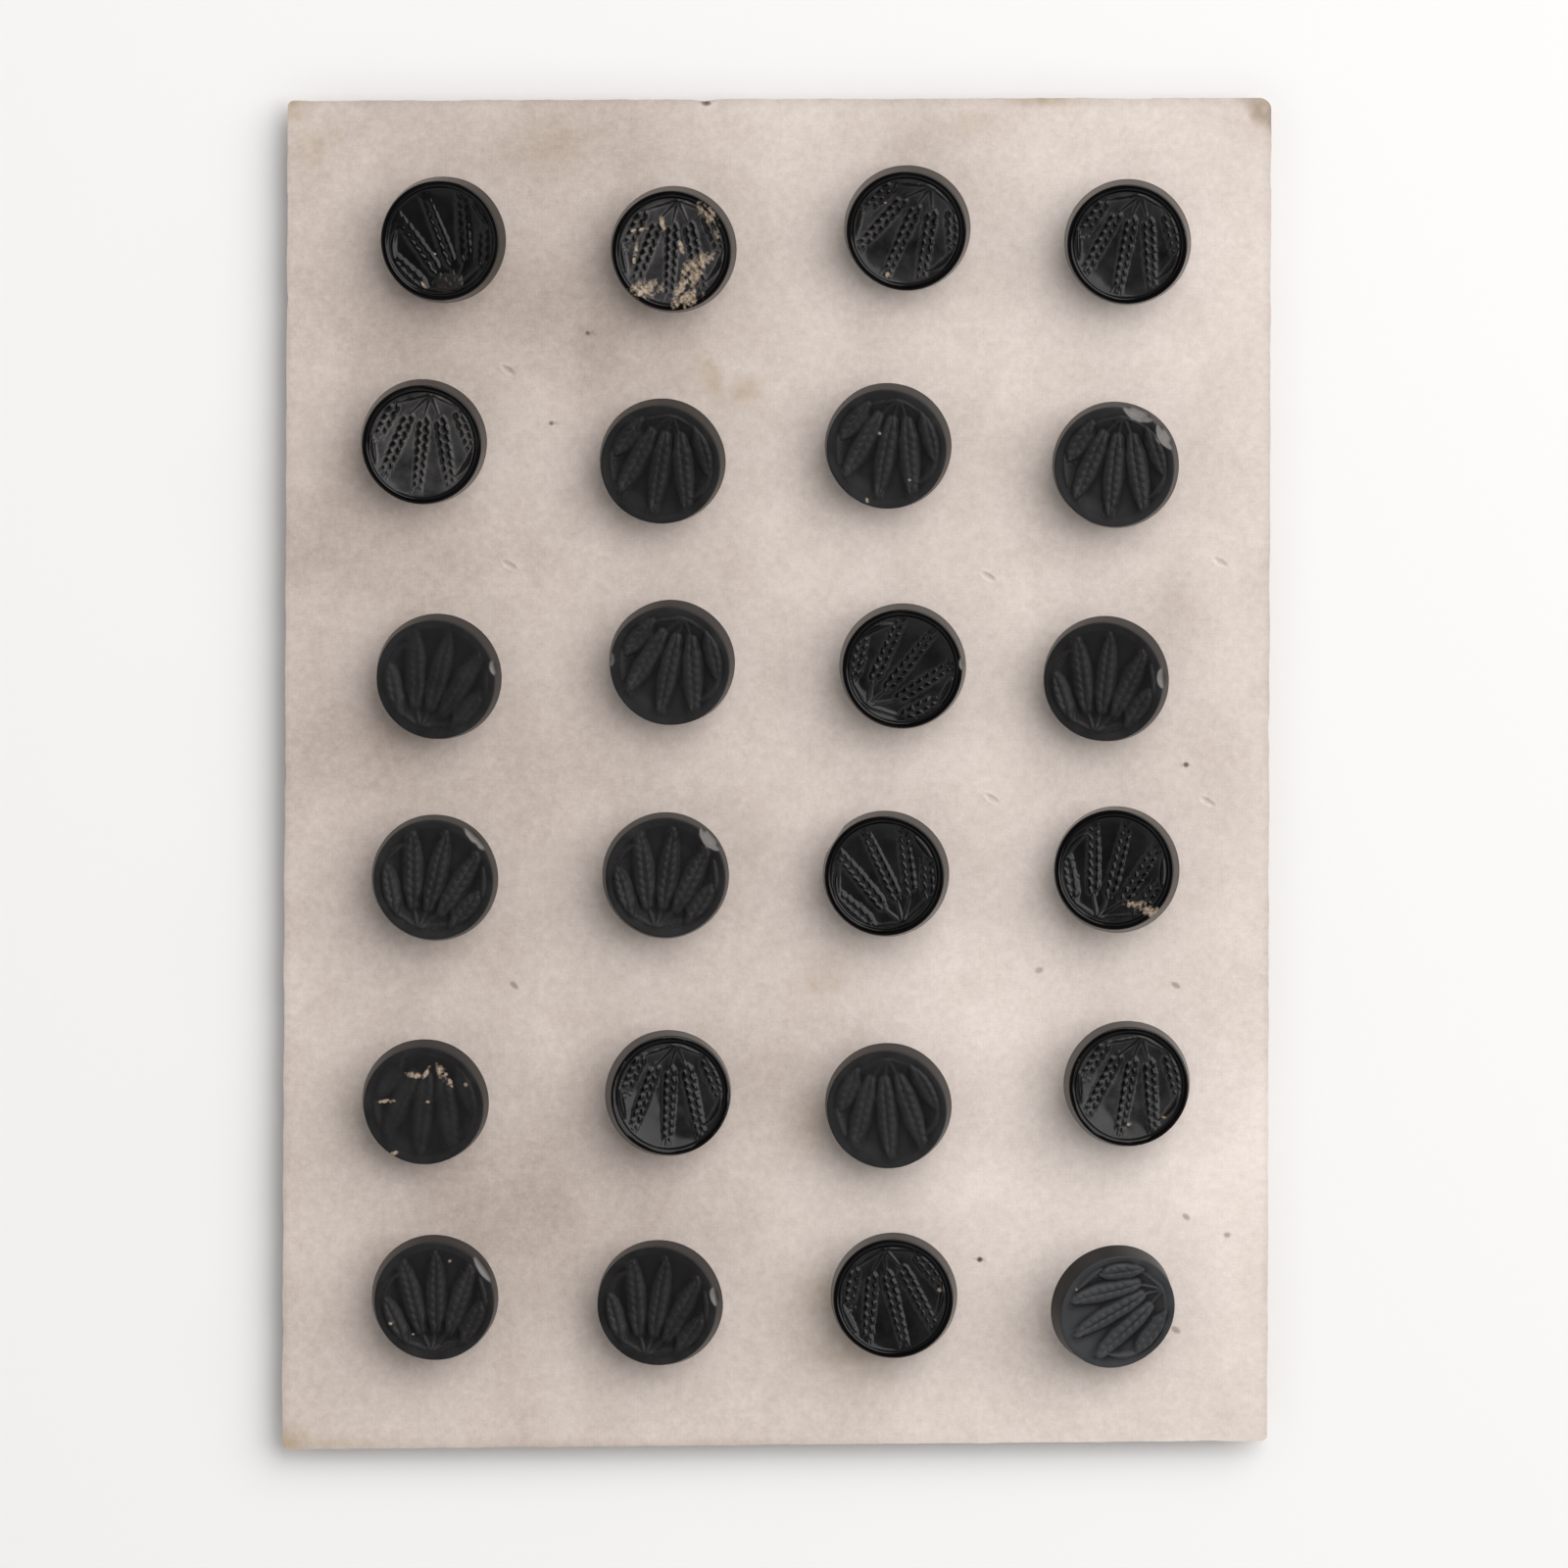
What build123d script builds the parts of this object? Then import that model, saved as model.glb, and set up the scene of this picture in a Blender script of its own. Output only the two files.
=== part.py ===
from build123d import *
import os
from math import asin, atan2, cos, degrees, hypot, radians, sin, sqrt

# A card of pressed-glass dress buttons. It lies on its back: +X is to the right of the card, +Y is towards
# its top edge and +Z is out of its front. The origin is under the middle of the card, on the surface that
# the ends of the shanks stand on. Each button hangs on a wire loop that goes through a hole in the card,
# and one wire behind each column holds its loops. Millimetres and degrees.

# Card
card_width = 125.0
card_height = 171.1
card_thickness = 0.7
stand_off = 3.4                 # of an upright button's back from the card's back
card_corner_radius = 0.8
blunted_corner = "top_right"    # knocked in
blunted_corner_radius = 2.2
# How far the hand-cut corners stand out from a true rectangle
corner_drift = {"bottom_left": (-0.1, 0.0), "bottom_right": (-0.4, 1.1), "top_right": (0.1, 0.0),
                "top_left": (0.6, -0.4)}

# Grid of buttons
column_pitch = 28.8
row_pitch = 26.8
grid_rise = 0.15                # of its middle above the card's

# Pressed glass: a flat back, a sharp parting line, a rim, and a slope down inside it to a dished floor
button_radius = 8.0             # at the parting line of the mould
button_height = 3.9
parting_height = 1.1
back_inset = 0.8                # of the back's edge from the parting line
rim_inset = 0.45                # of the rim's outer edge from the parting line
land_width = 0.25               # of the flat top of the rim
border_width = 0.9              # from the rim's outer edge in to the floor
border_depth = 0.65             # from the rim's top down to the edge of the floor
dish_depth = 0.3                # of the floor's middle below its edge
back_edge_radius = 0.6
parting_edge_radius = 0.2
rim_edge_radius = 0.2
land_edge_radius = 0.1
trim_depth = 0.28               # of the flat left where the glass was snapped off its rod

# Wheat in relief: each ear runs from its foot to its tip. Points are shares of the rim's radius.
ears = [((0.04, -0.46), (-0.03, 0.80)), ((-0.22, -0.50), (-0.58, 0.65)), ((0.28, -0.47), (0.57, 0.62)),
        ((-0.49, -0.71), (-0.84, -0.01)), ((0.53, -0.62), (0.76, 0.0))]
stem_foot = (-0.02, -0.86)
leaves = [((-0.86, -0.07), (-0.83, 0.18), (-0.64, 0.42)), ((0.86, 0.0), (0.75, 0.20), (0.74, 0.37))]
ear_radius = 0.85
ear_sink = 0.30                 # of an ear's own axis below the floor
stem_width = 0.32
leaf_width = 0.5
relief_height = 0.35            # of the stems and leaves above the middle of the floor

# Shank: a plate let into the glass, and a wire loop brazed to it
plate_radius = 2.8
plate_thickness = 0.5
plate_recess = 0.3
plate_clearance = 0.05
loop_wire_radius = 0.375
loop_radius = 1.5               # of the loop's middle line
shank_length = 6.0              # from the glass's back to the end of the loop
tang_length = 0.6               # of the loop's feet, past the plate into the glass
tang_clearance = 0.03

# Holes and holding wires
hole_clearance = 0.425          # around a loop that hangs straight through
wire_radius = 0.35
wire_gap = 0.02                 # between the wire and the card's back
wire_bend_radius = 30.0         # where it passes a loop
wire_overhang = 7.0             # past the first and last loop
hook_length = 4.5
hook_bend_radius = 1.4
edge_gap = 0.02                 # under the edge of a button that leans right down to the card
loop_play = 0.24                # between a fallen button's loop and the holding wire

# Worked out from the sizes above
back_radius = button_radius - back_inset
rim_radius = button_radius - rim_inset
floor_radius = rim_radius - border_width
floor_edge_height = button_height - border_depth
floor_height = floor_edge_height - dish_depth
hole_radius = loop_radius + loop_wire_radius + hole_clearance
card_back_height = shank_length - stand_off
card_front_height = card_back_height + card_thickness
loop_centre_depth = shank_length - loop_radius - loop_wire_radius
wire_height = card_back_height - wire_gap - wire_radius
# A fallen button's edge is on the card, and its loop has come up to the holding wire
loop_drop = shank_length - loop_wire_radius
loop_rise = card_front_height + edge_gap + loop_wire_radius + loop_play - (wire_height - wire_radius)
fallen = degrees(atan2(loop_drop, back_radius) - asin(loop_rise / hypot(loop_drop, back_radius)))

# How each button sits, row by row from the top and from left to right: how far it is from its place on the
# grid, the way it leans and by how much, the turn of its wheat, and the turn of its loop's eye from +Y.
# Turns and ways are anticlockwise, seen from the front, and a lean of 0 is towards +X.
poses = [
    [(1.2, 0.2, 209, 10.5, 18, 30), (1.4, -1.0, 233, 8.5, 174, 6),
     (2.1, 1.7, 253, 11.5, 153, -15), (1.1, -0.1, 253, 9.0, 166, -2)],
    [(-1.3, 1.5, 243, 10.5, 171, 3), (0.0, -0.9, 245, 13.0, 167, -1),
     (-0.3, 1.0, 245, 12.0, 166, -2), (-0.4, -1.4, 235, 9.0, 171, 3)],
    [(0.6, -1.3, 231, 12.0, -18, -6), (1.2, 0.5, 245, 13.0, 164, -4),
     (1.5, 0.0, 259, 8.5, -42, -28), (-1.6, -1.6, 225, 13.0, -10, 2)],
    [(0.1, 0.1, 240, 6.0, -17, -5), (0.4, 0.4, 270, 6.0, -11, 1),
     (-0.6, 0.6, 229, 8.0, 22, 30), (-0.3, 1.1, 185, 8.5, -18, -6)],
    [(-1.1, -1.3, 250, 12.0, 170, 2), (0.7, -0.3, 323, 8.5, 175, 7),
     (-0.3, -1.8, 245, 12.0, 181, 13), (1.0, 0.9, 303, 7.4, 167, -1)],
    [(0.1, 0.8, 265, 9.5, -3, 9), (-0.3, 0.1, 220, 11.5, -13, -1),
     (0.4, 1.0, 249, 7.5, 191, 23), (-1.0, -0.1, 310, fallen, 116, -36)],
]

# Where each edge has lost glass, as a way from the button's middle: a flat, or chips that are each a way,
# the radius of the hollow and how deep it goes into the rim
flats = {"r2c2": 212, "r2c3": 223, "r2c4": 231, "r4c3": 147, "r5c2": 300, "r5c3": 240}
chips = {"r2c4": [(36, 1.9, 1.1), (66, 1.9, 1.1)], "r3c1": [(12, 1.3, 0.5)], "r3c2": [(174, 1.3, 0.5)],
         "r3c3": [(5, 1.2, 0.4)], "r3c4": [(4, 1.5, 0.7)], "r4c1": [(43, 1.6, 0.7)], "r4c2": [(41, 2.2, 1.2)],
         "r6c1": [(32, 1.3, 0.5)], "r6c2": [(10, 1.5, 0.6)]}

rows = len(poses)
columns = len(poses[0])


def towards(way):
    """Gives the level direction that a way in degrees points in."""
    return Vector(cos(radians(way)), sin(radians(way)), 0)


def standing_height(lean, tilt, eye_turn):
    """Gives the height of the glass's back above the surface: it stands on the end of its loop, or on the
    card where it leans too far for that."""
    eye_rise = sin(radians(tilt)) * cos(radians(90 + eye_turn - lean))
    reach = loop_radius * sqrt(1 - eye_rise**2) + loop_wire_radius
    on_loop = loop_centre_depth * cos(radians(tilt)) + reach
    on_card = card_front_height + back_radius * sin(radians(tilt)) + edge_gap
    return max(on_loop, on_card)


def button_planes(row, column):
    """Gives a button's plane, on the glass's back with +Y up its wheat, and its loop's plane, with +X
    across the loop."""
    shift_x, shift_y, lean, tilt, wheat_turn, eye_turn = poses[row][column]
    hinge = Axis((0, 0, 0), towards(lean + 90))
    outwards = Vector(0, 0, 1).rotate(hinge, tilt)
    middle = Vector((column - (columns - 1) / 2) * column_pitch + shift_x,
                    ((rows - 1) / 2 - row) * row_pitch + grid_rise + shift_y, 0)
    back = middle - Vector(outwards.X, outwards.Y, 0) * parting_height
    back = back + Vector(0, 0, standing_height(lean, tilt, eye_turn))
    glass_plane = Plane(back, towards(wheat_turn).rotate(hinge, tilt), outwards)
    loop_plane = Plane(back, towards(eye_turn).rotate(hinge, tilt), -towards(eye_turn + 90).rotate(hinge, tilt))
    return glass_plane, loop_plane


def on_axis(glass_plane, height):
    """Gives the point where a button's own axis is at a height."""
    along = (height - glass_plane.origin.Z) / glass_plane.z_dir.Z
    return glass_plane.origin + glass_plane.z_dir * along


def across(plane, way):
    """Gives the direction in a button's own plane that lies over a level way."""
    level = towards(way)
    return (level - plane.z_dir * level.dot(plane.z_dir)).normalized()


def press_button(name, plane, loop_plane):
    """Makes one glass button, with the flats and breaks that its edge has."""
    section = Plane(plane.origin, plane.x_dir, -plane.y_dir)
    recess_radius = plate_radius + plate_clearance
    relief_top = floor_height + relief_height
    with BuildPart() as button:
        with BuildSketch(section):
            with BuildLine():
                FilletPolyline(
                    (recess_radius, 0), (back_radius, 0), (button_radius, parting_height),
                    (rim_radius, button_height), (rim_radius - land_width, button_height),
                    (floor_radius, floor_edge_height),
                    radius=[back_edge_radius, parting_edge_radius, rim_edge_radius, land_edge_radius])
                ThreePointArc(
                    (floor_radius, floor_edge_height),
                    (floor_radius / 2, floor_height + (floor_edge_height - floor_height) / 4),
                    (0, floor_height))
                Polyline((0, floor_height), (0, plate_recess), (recess_radius, plate_recess), (recess_radius, 0))
            make_face()
        revolve(axis=Axis(plane.origin, plane.z_dir))
        for foot, tip in ears:
            start = plane.from_local_coords(
                Vector(foot[0] * rim_radius, foot[1] * rim_radius, floor_height - ear_sink))
            end = plane.from_local_coords(
                Vector(tip[0] * rim_radius, tip[1] * rim_radius, floor_height - ear_sink))
            length = (end - start).length
            with BuildSketch(Plane(start, end - start, plane.z_dir)):
                with BuildLine():
                    ThreePointArc((0, 0), (length / 2, ear_radius), (length, 0))
                    Line((length, 0), (0, 0))
                make_face()
            revolve(axis=Axis(start, end - start))
        with BuildSketch(plane.offset(relief_top)):
            for foot, tip in ears:
                with BuildLine():
                    Line((stem_foot[0] * rim_radius, stem_foot[1] * rim_radius),
                         (foot[0] * rim_radius, foot[1] * rim_radius))
                trace(line_width=stem_width)
            for points in leaves:
                with BuildLine():
                    ThreePointArc(*[(x * rim_radius, y * rim_radius) for x, y in points])
                trace(line_width=leaf_width)
        extrude(amount=-2 * relief_height)
        with BuildSketch(Plane(plane.origin + plane.z_dir * plate_recess, loop_plane.x_dir, plane.z_dir)):
            with Locations((loop_radius, 0), (-loop_radius, 0)):
                Circle(loop_wire_radius + tang_clearance)
        extrude(amount=tang_length + tang_clearance, mode=Mode.SUBTRACT)
        if name in flats:
            way = towards(flats[name])
            split(bisect_by=Plane(plane.origin + way * (button_radius - trim_depth), z_dir=-way))
        rim_middle = plane.origin + plane.z_dir * button_height
        for way, radius, depth in chips.get(name, []):
            with Locations(rim_middle + across(plane, way) * (rim_radius + radius - depth)):
                Sphere(radius, mode=Mode.SUBTRACT)
    return button


def bend_shank(plane, loop_plane):
    """Makes one shank: a plate and the loop brazed through it."""
    foot_height = plate_recess + tang_length
    with BuildPart() as shank:
        with BuildSketch(plane.offset(plate_recess - plate_thickness)):
            Circle(plate_radius)
        extrude(amount=plate_thickness)
        with BuildLine(loop_plane) as loop:
            Line((loop_radius, foot_height), (loop_radius, -loop_centre_depth))
            ThreePointArc((loop_radius, -loop_centre_depth), (0, -loop_centre_depth - loop_radius),
                          (-loop_radius, -loop_centre_depth))
            Line((-loop_radius, -loop_centre_depth), (-loop_radius, foot_height))
        with BuildSketch(Plane(loop.line @ 0, z_dir=loop.line % 0)):
            Circle(loop_wire_radius)
        sweep()
    return shank


def bend_holding_wire(eyes):
    """Makes the wire that runs down a column through its loops, with a hook at each end."""
    overhang = Vector(0, wire_overhang, 0)
    top = eyes[0] + overhang
    bottom = eyes[-1] - overhang
    hook = Vector(hook_length, 0, 0)
    bends = [hook_bend_radius] + [wire_bend_radius] * len(eyes) + [hook_bend_radius]
    with BuildPart() as wire:
        with BuildLine() as route:
            FilletPolyline(top + hook, top, *eyes, bottom, bottom - hook, radius=bends)
        with BuildSketch(Plane(route.line @ 0, z_dir=route.line % 0)):
            Circle(wire_radius)
        sweep()
    return wire


def keep(piece, name):
    """Labels a finished piece and writes it to its own file."""
    piece.part.label = name
    export_step(piece.part, f"parts/{name}.step")


os.makedirs("parts", exist_ok=True)
hole_places = []

for column in range(columns):
    wire_eyes = []
    for row in range(rows):
        name = f"r{row + 1}c{column + 1}"
        glass_plane, loop_plane = button_planes(row, column)
        keep(press_button(name, glass_plane, loop_plane), f"button_{name}")
        keep(bend_shank(glass_plane, loop_plane), f"shank_{name}")
        hole_places.append(on_axis(glass_plane, card_back_height + card_thickness / 2))
        wire_eyes.append(on_axis(glass_plane, wire_height))
    keep(bend_holding_wire(wire_eyes), f"holding_wire_c{column + 1}")

corners = {}
for side_y, y in (("bottom", -card_height / 2), ("top", card_height / 2)):
    for side_x, x in (("left", -card_width / 2), ("right", card_width / 2)):
        drift_x, drift_y = corner_drift[f"{side_y}_{side_x}"]
        corners[f"{side_y}_{side_x}"] = (x + drift_x, y + drift_y)

with BuildPart() as card:
    with BuildSketch(Plane.XY.offset(card_back_height)) as outline:
        with BuildLine():
            Polyline(corners["bottom_left"], corners["bottom_right"], corners["top_right"],
                     corners["top_left"], close=True)
        make_face()
        for corner, place in corners.items():
            vertex = outline.vertices().sort_by_distance((*place, 0))[0]
            fillet(vertex, blunted_corner_radius if corner == blunted_corner else card_corner_radius)
        with Locations(*[(place.X, place.Y) for place in hole_places]):
            Circle(hole_radius, mode=Mode.SUBTRACT)
    extrude(amount=card_thickness)
keep(card, "card")
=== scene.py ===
import bpy
import math
import numpy as np
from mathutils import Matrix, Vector
from mathutils.geometry import delaunay_2d_cdt


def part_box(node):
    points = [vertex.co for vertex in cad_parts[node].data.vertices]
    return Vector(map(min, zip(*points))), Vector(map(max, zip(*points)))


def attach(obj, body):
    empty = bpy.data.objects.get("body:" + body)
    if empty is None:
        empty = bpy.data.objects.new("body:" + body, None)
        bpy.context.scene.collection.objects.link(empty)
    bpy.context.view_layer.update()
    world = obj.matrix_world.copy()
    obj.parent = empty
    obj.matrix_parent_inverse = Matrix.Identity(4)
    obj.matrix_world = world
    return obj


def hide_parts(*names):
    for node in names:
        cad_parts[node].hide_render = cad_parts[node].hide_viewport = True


# A card of two dozen pressed black-glass dress buttons. Sizes are in millimetres and ways in degrees
# anticlockwise from +X, seen from the front of the card, unless a name says otherwise.

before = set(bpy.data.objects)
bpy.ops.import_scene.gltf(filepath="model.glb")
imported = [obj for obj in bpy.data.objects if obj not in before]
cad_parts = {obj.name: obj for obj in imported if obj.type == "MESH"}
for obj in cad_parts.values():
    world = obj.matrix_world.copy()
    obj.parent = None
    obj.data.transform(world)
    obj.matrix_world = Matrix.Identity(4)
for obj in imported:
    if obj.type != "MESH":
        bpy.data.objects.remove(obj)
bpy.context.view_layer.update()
MM = 0.001

# Pressed glass, as heights above the flat back
RIM_RADIUS = 7.55
FLOOR_RADIUS = 6.65
BUTTON_HEIGHT = 3.9
FLOOR_HEIGHT = 2.95
FLOOR_EDGE_HEIGHT = 3.55
PLATE_RECESS = 0.3
RECESS_RADIUS = 2.85
TRIM_AT = 7.72                  # from the middle out to a flat
GLASS_RINGS = 43                # across the floor, so that a grain is five or six cells long
BORDER = [(6.66, 3.57), (6.80, 3.73), (6.86, 3.82), (6.92, 3.86), (7.10, 3.885), (7.30, 3.90), (7.42, 3.895)]
WALL = [(7.50, 3.875), (7.545, 3.83), (7.565, 3.76), (7.68, 3.0), (7.86, 1.95), (7.97, 1.23), (8.0, 1.1),
        (7.93, 0.99), (7.55, 0.5), (7.30, 0.16), (7.14, 0.04), (6.95, 0.0), (RECESS_RADIUS, 0.0),
        (RECESS_RADIUS, PLATE_RECESS)]

# Wheat in relief, with points as shares of the rim's radius and +Y up the wheat
EARS = [((0.04, -0.46), (-0.03, 0.80)), ((-0.22, -0.50), (-0.58, 0.65)), ((0.28, -0.47), (0.57, 0.62)),
        ((-0.49, -0.71), (-0.84, -0.01)), ((0.53, -0.62), (0.76, 0.0))]
STEM_FOOT = (-0.02, -0.86)
LEAVES = [((-0.86, -0.10), (-0.86, 0.18), (-0.62, 0.45)), ((0.87, -0.04), (0.80, 0.20), (0.72, 0.45))]
STEM_HALF_WIDTH = 0.26
STEM_HEIGHT = 0.30
LEAF_HALF_WIDTH = 0.42
LEAF_HEIGHT = 0.30
LEAF_STEPS = 24                 # rounds that a leaf is built up from
EAR_HALF_WIDTH = 1.12
# Heights of an ear's body, its grains and its beards, the power that squares the body's shoulders, the power that
# flattens the grains' tops, and how broad the ear is
CRISP = {"body": 0.10, "grain": 0.20, "beard": 0.13, "shoulder": 2.0, "top": 0.20, "breadth": 0.95}
RUBBED = {"body": 0.40, "grain": 0.16, "beard": 0.14, "shoulder": 4.0, "top": 0.50, "breadth": 1.25}
FIRST_GRAIN = 0.55              # from the ear's foot
GRAIN_PITCH = 1.13
GRAIN_LENGTH = 0.66             # half of it
GRAIN_WIDTH = 0.40              # half of it
GRAIN_SPLAY = 20
WORN_ROUNDS = 14                # of blurring, on a wholly worn relief
WORN_LOSS = 0.8                 # of its height
BEARD_HALF_WIDTH = 0.10

# The turn of each button's wheat, whether its glass has gone dull, and how worn its relief is
BUTTONS = {
    "r1c1": (18, False, 0.20), "r1c2": (174, False, 0.05), "r1c3": (153, False, 0.00), "r1c4": (166, False, 0.00),
    "r2c1": (171, False, 0.00), "r2c2": (167, True, 0.10), "r2c3": (166, True, 0.08), "r2c4": (171, True, 0.05),
    "r3c1": (-18, True, 0.30), "r3c2": (164, True, 0.08), "r3c3": (-42, False, 0.00), "r3c4": (-10, True, 0.12),
    "r4c1": (-17, True, 0.08), "r4c2": (-11, True, 0.08), "r4c3": (22, False, 0.00), "r4c4": (-18, False, 0.00),
    "r5c1": (170, True, 0.45), "r5c2": (175, False, 0.00), "r5c3": (181, True, 0.15), "r5c4": (167, False, 0.00),
    "r6c1": (-3, True, 0.08), "r6c2": (-13, True, 0.10), "r6c3": (191, False, 0.00), "r6c4": (116, True, 0.00),
}
# How thick the film of dust is on the polished floors
FILM = {"r1c1": 0.10, "r1c2": 0.9, "r1c3": 0.55, "r1c4": 0.40, "r2c1": 1.0, "r3c3": 0.25, "r4c3": 0.20, "r4c4": 0.20,
        "r5c2": 0.35, "r5c4": 0.50, "r6c3": 0.25}
# How thick the dust is all over the dull ones that have some
DUST = {"r6c4": 1.0, "r2c4": 0.2, "r5c3": 0.2, "r2c3": 0.15, "r3c2": 0.15}
# The way each flat faces, where the glass was snapped off its rod
FLATS = {"r2c2": 212, "r2c3": 223, "r2c4": 231, "r4c3": 147, "r5c2": 300, "r5c3": 240}
# Chips bitten out of a rim: the way out to each, the radius of its hollow and how deep it bites
CHIPS = {"r2c4": [(31, 3.0, 0.75), (66, 3.4, 0.85)], "r3c1": [(12, 1.6, 0.35)], "r3c2": [(174, 1.5, 0.35)],
         "r3c3": [(5, 1.5, 0.25)], "r3c4": [(4, 2.0, 0.55)], "r4c1": [(44, 8.5, 0.42)], "r4c2": [(41, 2.8, 0.85)],
         "r6c1": [(34, 5.5, 0.50)], "r6c2": [(10, 2.0, 0.45)]}
# Old glue and paper left on the glass: how far right and up the card from the button's middle, the patch's
# half length and half width, and the way it runs
CRUSTS = {
    "r1c2": [(4.6, 4.6, 1.7, 0.8, 130), (3.2, -1.6, 2.6, 0.9, 30), (2.6, -3.2, 1.6, 1.1, 60), (1.2, -4.7, 1.7, 0.7, 60),
             (-3.3, -4.8, 2.0, 1.1, 10), (1.7, -6.0, 1.9, 1.0, 20), (-1.2, 3.4, 1.1, 0.3, 100),
             (-4.2, 2.6, 1.2, 0.25, 10), (-4.7, -0.8, 1.7, 0.25, 80), (1.2, 0.3, 0.9, 0.3, 110),
             (5.6, 2.2, 0.7, 0.4, 90)],
    "r4c4": [(2.2, -4.3, 1.1, 0.5, 170), (4.4, -5.0, 1.5, 0.75, 150)],
    "r5c1": [(-1.2, 3.9, 1.3, 0.35, 170), (0.4, 4.2, 0.9, 0.3, 60), (2.3, 4.2, 1.3, 0.6, 120),
             (3.4, 3.0, 0.8, 0.25, 110), (-4.7, 0.5, 1.0, 0.25, 5), (0.5, 0.5, 0.3, 0.2, 0),
             (5.4, 2.8, 0.3, 0.25, 90), (-4.0, -6.2, 0.9, 0.25, 20)],
    "r1c1": [(-2.2, -5.6, 0.5, 0.2, 130), (-0.8, -1.7, 0.2, 0.15, 0)],
    "r1c3": [(-2.4, -5.6, 0.35, 0.28, 90), (-2.6, 3.5, 0.2, 0.15, 0)],
    "r2c3": [(-0.9, 2.0, 0.25, 0.2, 0), (-2.5, -6.5, 0.35, 0.2, 120), (2.9, -3.9, 0.25, 0.2, 0)],
    "r5c4": [(0.1, -4.9, 0.2, 0.25, 90), (4.5, -4.0, 0.2, 0.3, 90)],
    "r6c1": [(2.0, 5.1, 0.25, 0.2, 0), (-5.5, -2.8, 0.2, 0.25, 90), (-2.7, -4.3, 0.2, 0.15, 0)],
    "r6c3": [(5.8, 1.1, 0.3, 0.25, 0)],
    "r6c4": [(-5.6, 3.4, 0.2, 0.2, 0), (-5.3, -6.4, 0.25, 0.2, 0)],
}
# A brown lump of glue over the stems
LUMPS = {"r1c1": [(1.0, -5.3, 1.7, 1.0, 0)]}

# Pasteboard, between the CAD card's back and front
CARD_BACK, CARD_FRONT = [round(corner[2] / MM, 3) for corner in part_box("card")]
HOLE_RADIUS = 2.3
CARD_REACH_X, CARD_REACH_Y = 62.6, 85.6
# Each corner's place and how far it is blunted
CORNERS = [(-62.6, -85.55, 0.8), (62.1, -84.45, 0.8), (62.6, 85.55, 1.4), (-61.9, 85.15, 0.8)]
CARD_CELL = 1.0
MARK_CELL = 0.16                # where it is dented or spotted
CELL_CLEARANCE = 0.35           # between an edge and the cells' own points
CORNER_STEPS = 8
HOLE_SIDES = 36
# The knocked corner is creased along a line through this point, square to this way
CREASE_AT = (58.2, 85.5)
CREASE_WAY = (0.73, 0.69)
# Nicks in the card's edge: where, half length and depth
EDGE_NICKS = [(-9.0, 85.3, 0.9, 0.25), (-62.3, -0.1, 1.2, 0.2), (62.3, 5.5, 1.6, 0.25), (-61.9, 60.0, 1.0, 0.12)]
# Dents pressed by the shanks of a card laid on it: where, half length, half width, the way it runs and depth
DENTS = [(-34.0, 51.0, 0.85, 0.34, 148, 0.16), (-33.8, 26.3, 0.85, 0.34, 150, 0.16),
         (26.7, 24.9, 0.85, 0.34, 150, 0.16), (56.1, 26.7, 0.85, 0.34, 150, 0.14),
         (27.2, -3.2, 0.85, 0.34, 150, 0.16), (54.5, -3.6, 0.85, 0.34, 150, 0.16)]
# Small brown spots, as dents are given, with how dark they are
SPOTS = [(-23.9, 55.7, 0.3, 0.25, 0, 0.8), (-28.5, 44.3, 0.3, 0.25, 0, 0.8), (25.7, -61.5, 0.35, 0.3, 0, 1.0),
         (51.8, 1.1, 0.35, 0.3, 0, 0.9), (-33.2, -26.8, 0.6, 0.3, 140, 0.5), (50.5, -26.8, 0.6, 0.3, 150, 0.5),
         (33.2, -24.9, 0.5, 0.35, 20, 0.4), (50.5, -70.4, 0.6, 0.35, 150, 0.5), (51.8, -56.1, 0.5, 0.3, 140, 0.5),
         (57.0, -58.4, 0.4, 0.3, 0, 0.5), (-8.9, 84.9, 0.6, 0.4, 0, 0.9)]
# Yellow-brown stains, soft at the edge: where, half length, half width, the way it runs and strength
STAINS = [(-8.4, 50.1, 2.4, 1.3, 120, 0.50), (-4.0, 48.3, 2.0, 1.2, 30, 0.55), (5.9, -26.1, 3.2, 2.2, 20, 0.32),
          (4.0, -44.7, 2.2, 2.8, 90, 0.28), (6.5, -66.0, 2.5, 4.5, 100, 0.30), (8.5, -74.0, 3.5, 4.5, 70, 0.32),
          (-58.6, 79.3, 3.0, 2.2, 30, 0.30), (24.5, 82.4, 3.2, 1.4, 10, 0.30), (33.8, 85.3, 3.6, 0.8, 0, 0.55),
          (-61.8, -84.9, 2.2, 1.6, 45, 0.70), (-61.6, 84.8, 2.0, 1.6, 135, 0.55), (62.4, 84.8, 2.4, 2.0, 45, 0.80),
          (-28.8, 79.3, 5.0, 3.0, 10, 0.20), (-55.0, -84.8, 7.0, 0.7, 0, 0.35), (-20.0, -85.2, 22.0, 0.5, 0, 0.30)]
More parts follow.
